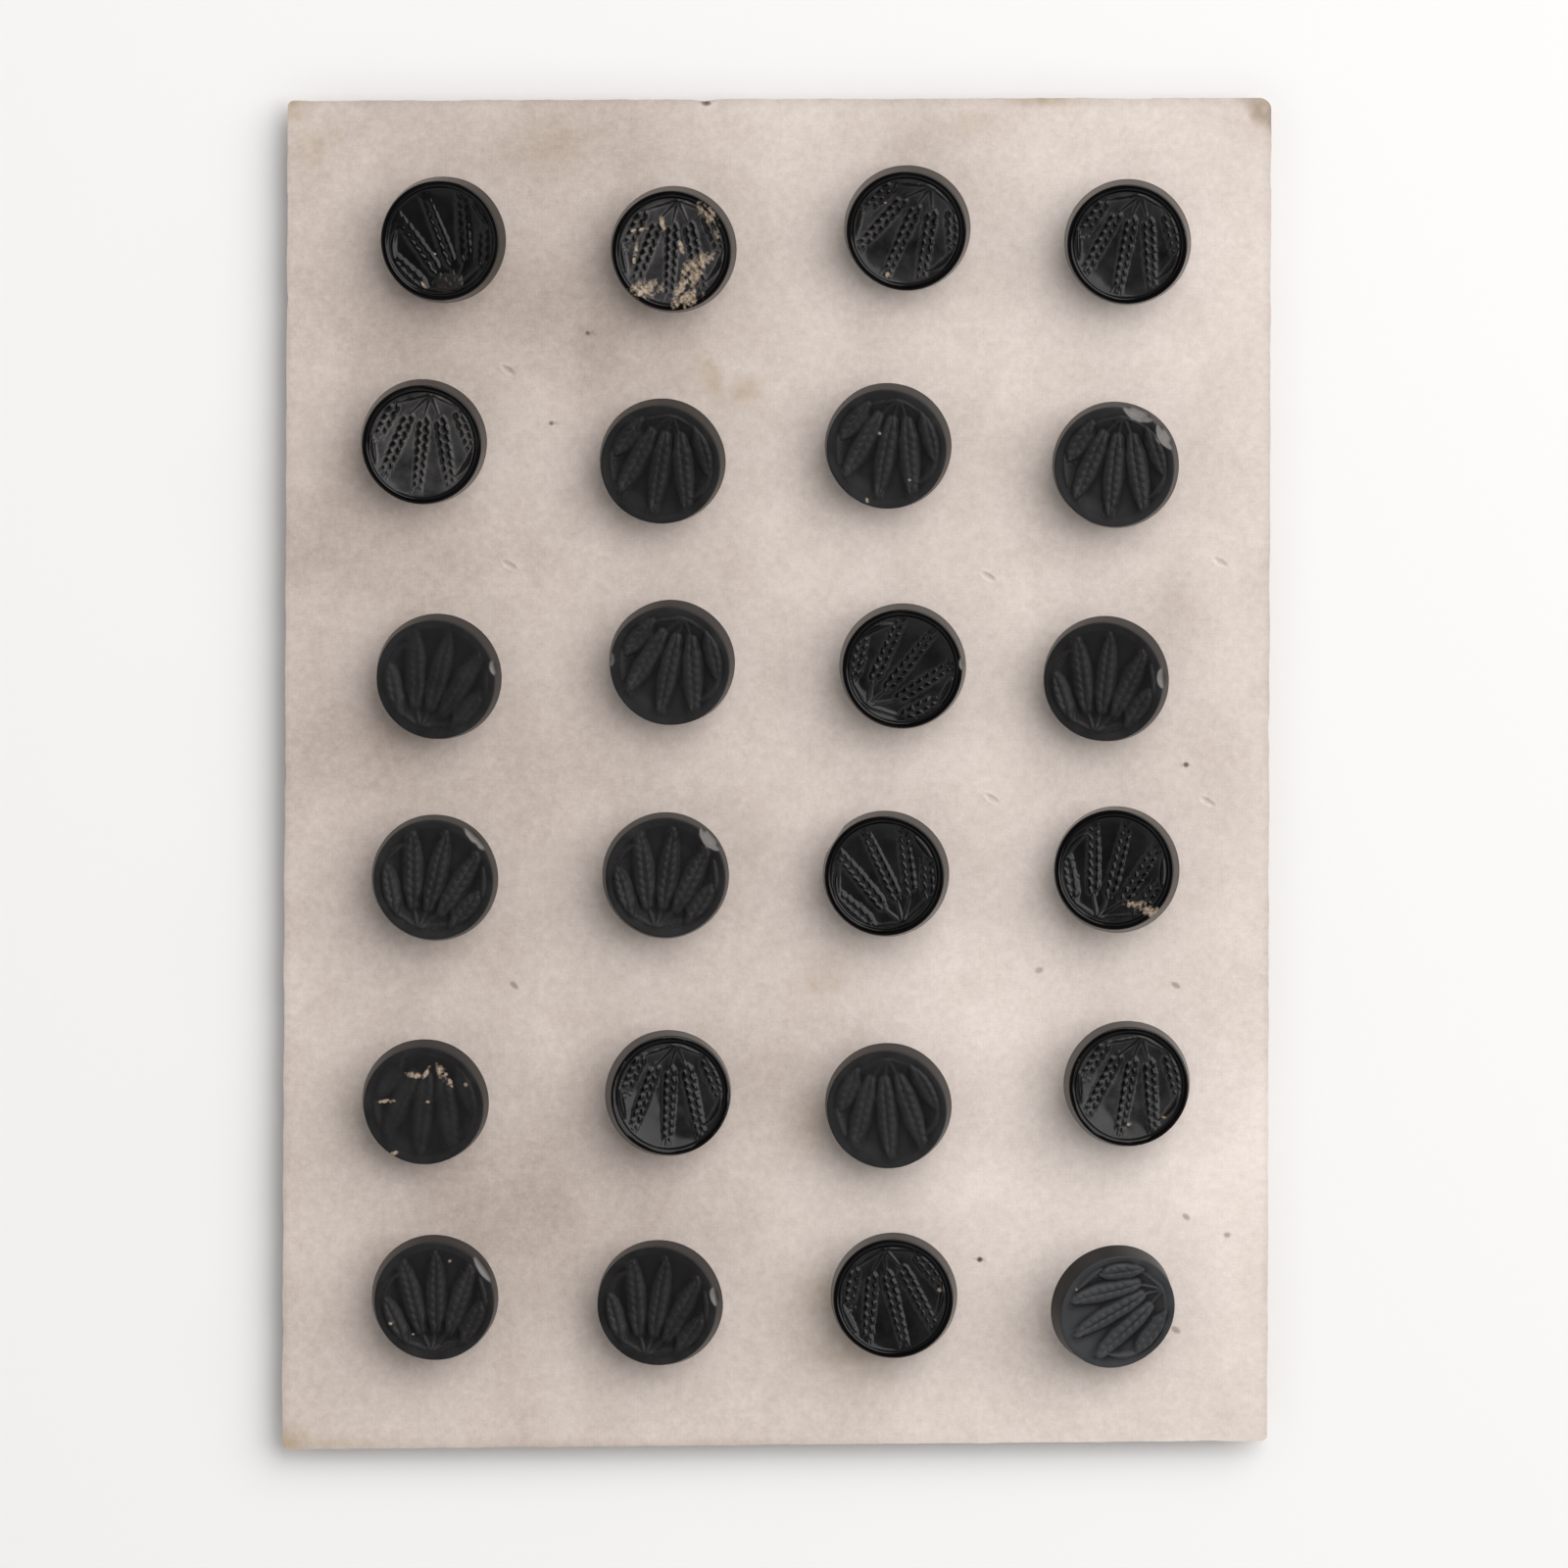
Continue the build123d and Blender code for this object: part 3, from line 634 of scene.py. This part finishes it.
def set_out_card(hole_places):
    """Gives the flat card's points and triangles, with its outline and its holes."""
    ring = cut_outline()
    points = [tuple(p) for p in ring]
    edges = [(k, (k + 1) % len(ring)) for k in range(len(ring))]
    for place in hole_places:
        start = len(points)
        for step in range(HOLE_SIDES):
            turn = step / HOLE_SIDES * 2 * math.pi
            points.append((place[0] + HOLE_RADIUS * math.cos(turn), place[1] + HOLE_RADIUS * math.sin(turn)))
        edges += [(start + k, start + (k + 1) % HOLE_SIDES) for k in range(HOLE_SIDES)]
    points += [tuple(p) for p in scatter_points(ring, hole_places)]
    # Triangles that keep every edge
    found = delaunay_2d_cdt([Vector(p) for p in points], edges, [], 0, 1e-5)
    flat = np.array([tuple(p) for p in found[0]])
    triangles = [t for t in found[2] if len(t) == 3]
    middles = flat[np.array(triangles)].mean(1)
    good = within(middles, ring)
    for place in hole_places:
        good &= np.hypot(middles[:, 0] - place[0], middles[:, 1] - place[1]) > HOLE_RADIUS * 0.995
    triangles = [t for t, ok in zip(triangles, good) if ok]
    return flat, triangles


def within(points, ring):
    """Tells which points are inside a closed line."""
    inside = np.zeros(len(points), bool)
    ahead = np.roll(ring, -1, axis=0)
    for (x0, y0), (x1, y1) in zip(ring, ahead):
        if y0 == y1:
            continue
        crosses = (points[:, 1] > min(y0, y1)) & (points[:, 1] <= max(y0, y1))
        at = x0 + (points[:, 1] - y0) / (y1 - y0) * (x1 - x0)
        inside ^= crosses & (points[:, 0] < at)
    return inside


def past_crease(x, y):
    """Gives how far each point is past the crease, and whether it is near that corner at all."""
    across = (x - CREASE_AT[0]) * CREASE_WAY[0] + (y - CREASE_AT[1]) * CREASE_WAY[1]
    return across, (x > 50) & (y > 70)


def card_surface(x, y):
    """Gives how far the card is bowed and dented at each point, above its CAD place."""
    bow = 0.16 + 0.10 * ripples(x, y, 62.0, 21) + 0.055 * ripples(x, y, 27.0, 22) + 0.02 * ripples(x, y, 11.0, 23)
    bow = np.clip(bow, 0.0, 0.5)
    bow = bow - 0.10 * patch(x, y, (50.5, 19.7, 5.0, 4.0, 0))
    # It lies flat where the fallen button rests on it
    bow = bow * (1 - patch(x, y, (46.5, -71.5, 7.0, 7.0, 0)))
    dents = np.zeros(np.shape(x))
    for place in DENTS:
        shape = patch(x, y, place[:5])
        dents -= place[5] * ease(0.25, 0.8, shape)
        dents += place[5] * 0.22 * np.exp(-((shape - 0.22) / 0.12) ** 2)
    # The knocked corner is creased across and bent down
    across, corner = past_crease(x, y)
    crease = (-0.16 * np.clip(across, 0, None) - 0.05 * np.exp(-(across / 0.3) ** 2)) * corner
    return np.clip(bow, 0, None), dents, crease


def pasteboard_material():
    """Pasteboard faced with off-white paper, pressed with a linen grain. It has browned unevenly with age and
    handling, so it is a warm grey-white with dirt in the grain and small brown spots; its soft clouds and darker left
    side are partly painted shade and light."""
    material, tree, shader = new_material("aged pasteboard")
    place = add(tree, "ShaderNodeTexCoord").outputs["Object"]
    tone_and_shading = add(tree, "ShaderNodeAttribute", attribute_name="tone_and_shading").outputs["Fac"]
    stain = add(tree, "ShaderNodeAttribute", attribute_name="stain").outputs["Fac"]
    grime_and_shade = add(tree, "ShaderNodeAttribute", attribute_name="grime_and_shade").outputs["Fac"]
    # The linen grain has a thread every 0.42 mm. A wave node's scale of 1 is 20 radians to the metre.
    pitch = 2 * math.pi / (0.42 * MM) / 20
    threads = [add(tree, "ShaderNodeTexWave", {"Vector": place, "Scale": pitch, "Distortion": 6.0, "Detail": 2.0,
                                               "Detail Scale": 2.0}, bands_direction=way).outputs["Fac"]
               for way in ("X", "Y")]
    linen = add(tree, "ShaderNodeMath", {0: threads[0], 1: threads[1]}, operation="ADD").outputs[0]
    # Pulp clouds about 5 mm across, and fibres and dirt about 1 mm
    pulp = add(tree, "ShaderNodeTexNoise", {"Vector": place, "Scale": 1000 / 5.0, "Detail": 6.0, "Roughness": 0.6})
    fibre = add(tree, "ShaderNodeTexNoise", {"Vector": place, "Scale": 1000 / 1.0, "Detail": 5.0, "Roughness": 0.75})
    pulp, fibre = pulp.outputs["Fac"], fibre.outputs["Fac"]
    shade = tone_and_shading
    for pattern, share in ((pulp, 0.26), (fibre, 0.62), (linen, 0.02)):
        shade = add(tree, "ShaderNodeMath", {0: pattern, 1: share, 2: shade}, operation="MULTIPLY_ADD").outputs[0]
    shade = add(tree, "ShaderNodeMath", {0: shade, 1: 0.46}, operation="SUBTRACT", use_clamp=True).outputs[0]
    colour = linear("#ab9a8f")
    # The darkest mix is dirt, and painted shade in the dents and along the crease
    for amount, over in ((shade, "#f7ebe3"), (stain, "#a58a5e"), (grime_and_shade, "#5d4a3c")):
        colour = add(tree, "ShaderNodeMix", {"Factor": amount, 6: colour, 7: linear(over)}, data_type="RGBA").outputs[2]
    tree.links.new(colour, shader.inputs["Base Color"])
    shader.inputs["Roughness"].default_value = 0.82
    shader.inputs["IOR"].default_value = 1.45
    shader.inputs["Specular IOR Level"].default_value = 0.3
    relief = add(tree, "ShaderNodeMath", {0: linen, 1: 0.18, 2: fibre}, operation="MULTIPLY_ADD").outputs[0]
    bump = add(tree, "ShaderNodeBump", {"Strength": 0.5, "Distance": 0.04 * MM, "Height": relief})
    tree.links.new(bump.outputs["Normal"], shader.inputs["Normal"])
    return material


def card_marks(x, y):
    """Gives how pale the card is at each point, how stained, and how dirty, with painted shade in its dents and along
    its crease.
    """
    # Darker towards the left: some browning, and a painted fall-off of the light from the right
    tone_and_shading = 0.53 + 0.12 * np.tanh(x / 40)
    # The clouds are partly painted shade and light of the warped card
    for cloud in CLOUDS:
        tone_and_shading = tone_and_shading + cloud[5] * patch(x, y, cloud[:5])
    tone_and_shading += 0.03 * ripples(x, y, 30.0, 31) + 0.03 * ripples(x, y, 12.0, 32)
    stain, grime_and_shade = np.zeros(len(x)), np.zeros(len(x))
    for place in STAINS:
        stain = np.maximum(stain, place[5] * patch(x, y, place[:5]) * (0.75 + 0.25 * ripples(x, y, 2.5, 33)))
    for place in SPOTS:
        grime_and_shade = np.maximum(grime_and_shade, place[5] * ease(0.2, 0.75, patch(x, y, place[:5])))
    # Painted shade in the dents that the shanks pressed
    for place in DENTS:
        grime_and_shade = np.maximum(grime_and_shade, 0.16 * ease(0.3, 0.9, patch(x, y, place[:5])))
    across, corner = past_crease(x, y)
    grime_and_shade = np.maximum(grime_and_shade, (0.42 - 0.06 * np.clip(across, 0, 3)) * ease(0.0, 0.7, across) * corner)
    # Below that corner the edge has split for 3 mm
    split = 0.8 * np.exp(-((x - 62.45) / 0.2) ** 2) * ease(81.2, 81.8, y) * (1 - ease(84.0, 84.5, y))
    # A line of painted shade runs along the crease, beside the split's dark edge
    grime_and_shade = np.maximum(np.maximum(grime_and_shade, split), 0.35 * np.exp(-(across / 0.25) ** 2) * corner)
    # Handling has soiled the last 0.7 mm all round
    margin = np.minimum(62.3 - abs(x), 85.2 - abs(y))
    grime_and_shade = np.maximum(grime_and_shade, 0.14 * (1 - ease(0.0, 0.7, margin)))
    return tone_and_shading, np.clip(stain, 0, 1), np.clip(grime_and_shade, 0, 1)


def cut_card(hole_places, material):
    """Makes the card and stands it for the CAD one."""
    flat, triangles = set_out_card(hole_places)
    x, y = flat[:, 0], flat[:, 1]
    bow, dents, crease = card_surface(x, y)
    count = len(flat)
    front = np.stack([x, y, CARD_FRONT + bow + dents + crease], -1)
    back = np.stack([x, y, CARD_BACK + bow + crease], -1)
    faces = [tuple(t) for t in triangles] + [tuple(k + count for k in reversed(t)) for t in triangles]
    edges = [edge for a, b, c in triangles for edge in ((a, b), (b, c), (c, a))]
    shared = set(edges)
    faces += [(end, start, start + count, end + count) for start, end in edges if (end, start) not in shared]
    tone_and_shading, stain, grime_and_shade = card_marks(x, y)
    # The back is plainer, darker board
    marks = {"tone_and_shading": np.concatenate([tone_and_shading, tone_and_shading - 0.18]), "stain": np.tile(stain, 2), "grime_and_shade": np.tile(grime_and_shade, 2)}
    piece = add_mesh("cut_card", np.concatenate([front, back]), faces, marks, material)
    # The cut edges stay crisp, and the two faces shade as flat sheets
    piece.data.set_sharp_from_angle(angle=math.radians(50))
    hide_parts("card")


def brass_material():
    """Brass wire and plate that has gone brown in the air: a soft metal gleam under a patchy dark skin."""
    material, tree, shader = new_material("tarnished brass")
    place = add(tree, "ShaderNodeTexCoord").outputs["Object"]
    skin = add(tree, "ShaderNodeTexNoise", {"Vector": place, "Scale": 1000 / 1.5, "Detail": 5.0, "Roughness": 0.65})
    patchy = add(tree, "ShaderNodeMapRange", {"Value": skin.outputs["Fac"], 1: 0.38, 2: 0.66}).outputs[0]
    colour = add(tree, "ShaderNodeMix", {"Factor": patchy, 6: linear("#b08d4f"), 7: linear("#5b4628")},
                 data_type="RGBA")
    tree.links.new(colour.outputs[2], shader.inputs["Base Color"])
    shader.inputs["Metallic"].default_value = 1.0
    rough = add(tree, "ShaderNodeMapRange", {"Value": patchy, 3: 0.30, 4: 0.55}).outputs[0]
    tree.links.new(rough, shader.inputs["Roughness"])
    drawn = add(tree, "ShaderNodeBump", {"Strength": 0.2, "Distance": 0.03 * MM, "Height": skin.outputs["Fac"]})
    tree.links.new(drawn.outputs["Normal"], shader.inputs["Normal"])
    return material


def iron_material():
    """Drawn iron wire with a dull grey-brown skin and a few freckles of rust."""
    material, tree, shader = new_material("dull iron wire")
    place = add(tree, "ShaderNodeTexCoord").outputs["Object"]
    skin = add(tree, "ShaderNodeTexNoise", {"Vector": place, "Scale": 1000 / 2.0, "Detail": 6.0, "Roughness": 0.7})
    rusty = add(tree, "ShaderNodeMapRange", {"Value": skin.outputs["Fac"], 1: 0.52, 2: 0.68}).outputs[0]
    colour = add(tree, "ShaderNodeMix", {"Factor": rusty, 6: linear("#77726c"), 7: linear("#5a3a26")}, data_type="RGBA")
    tree.links.new(colour.outputs[2], shader.inputs["Base Color"])
    metal = add(tree, "ShaderNodeMapRange", {"Value": rusty, 3: 1.0, 4: 0.3}).outputs[0]
    tree.links.new(metal, shader.inputs["Metallic"])
    rough = add(tree, "ShaderNodeMapRange", {"Value": rusty, 3: 0.42, 4: 0.8}).outputs[0]
    tree.links.new(rough, shader.inputs["Roughness"])
    pits = add(tree, "ShaderNodeBump", {"Strength": 0.3, "Distance": 0.03 * MM, "Height": skin.outputs["Fac"]})
    tree.links.new(pits.outputs["Normal"], shader.inputs["Normal"])
    return material


blank, faces, side = glass_grid()
front_x, front_y = blank[:side * side, 0], blank[:side * side, 1]
wheat = {dull: press_wheat(front_x, front_y, RUBBED if dull else CRISP).reshape(side, side) for dull in (False, True)}

materials = {"polished_glass": glass_material("polished black glass", "polished_glass"),
             "dull_glass": glass_material("rubbed black glass", "dull_glass")}
hole_places = []
for name in BUTTONS:
    middle, outwards = press_button(name, blank, faces, wheat, materials)
    drop = ((CARD_BACK + CARD_FRONT) / 2 - middle.z) / outwards.z
    hole_places.append((middle.x + outwards.x * drop, middle.y + outwards.y * drop))
cut_card(hole_places, pasteboard_material())

brass, iron = brass_material(), iron_material()
for node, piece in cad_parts.items():
    if node.startswith("shank_"):
        piece.material_slots[0].material = brass
    if node.startswith("holding_wire_"):
        piece.material_slots[0].material = iron

# A plain pale floor
floor_mesh = bpy.data.meshes.new("floor")
floor_mesh.from_pydata([(-1.5, -1.5, 0), (1.5, -1.5, 0), (1.5, 1.5, 0), (-1.5, 1.5, 0)], [], [(0, 1, 2, 3)])
floor = bpy.data.objects.new("floor", floor_mesh)
bpy.context.scene.collection.objects.link(floor)
floor_material, _, floor_shader = new_material("pale floor")
floor_shader.inputs["Base Color"].default_value = linear("#f6f5f4")
floor_shader.inputs["Roughness"].default_value = 0.9
floor_shader.inputs["Specular IOR Level"].default_value = 0.1
floor_mesh.materials.append(floor_material)

# Soft light from all round, dim straight overhead, with a large softbox to the upper right
world = bpy.data.worlds.new("soft room")
bpy.context.scene.world = world
world.use_nodes = True
sky = world.node_tree
sky.nodes.clear()
direction = add(sky, "ShaderNodeTexCoord").outputs["Generated"]
height = add(sky, "ShaderNodeSeparateXYZ", {0: direction}).outputs["Z"]
glow = add(sky, "ShaderNodeValToRGB", {0: height})
glow.color_ramp.interpolation = "EASE"
stops = [(0.0, 0.08), (0.10, 0.16), (0.30, 0.80), (0.60, 1.10), (0.80, 0.70), (0.90, 0.25), (1.0, 0.12)]
while len(glow.color_ramp.elements) < len(stops):
    glow.color_ramp.elements.new(0.5)
for element, (at, level) in zip(glow.color_ramp.elements, stops):
    element.position = at
    element.color = (level, level, level, 1)
background = add(sky, "ShaderNodeBackground", {"Color": glow.outputs["Color"], "Strength": 0.66})
add(sky, "ShaderNodeOutputWorld", {"Surface": background.outputs[0]})

softbox_data = bpy.data.lights.new("softbox", "AREA")
softbox_data.shape = "SQUARE"
softbox_data.size = 1.9
softbox_data.energy = 25.5
softbox = bpy.data.objects.new("softbox", softbox_data)
bpy.context.scene.collection.objects.link(softbox)
softbox.location = (0.80, 0.56, 1.14)
softbox.rotation_euler = (-softbox.location).to_track_quat("-Z", "Y").to_euler()

# The camera looks straight down on the card from far off
CAMERA_DISTANCE = 1500
VIEW_WIDTH = 198.4              # of what it takes in, at the card's front
camera_data = bpy.data.cameras.new("camera")
camera = bpy.data.objects.new("camera", camera_data)
bpy.context.scene.collection.objects.link(camera)
camera_data.sensor_width = 36.0
camera_data.lens = camera_data.sensor_width * CAMERA_DISTANCE / VIEW_WIDTH
camera_data.clip_end = 20.0
camera.location = (0.93 * MM, -1.34 * MM, (CARD_FRONT + CAMERA_DISTANCE) * MM)
bpy.context.scene.camera = camera
bpy.context.scene.view_settings.view_transform = "Standard"
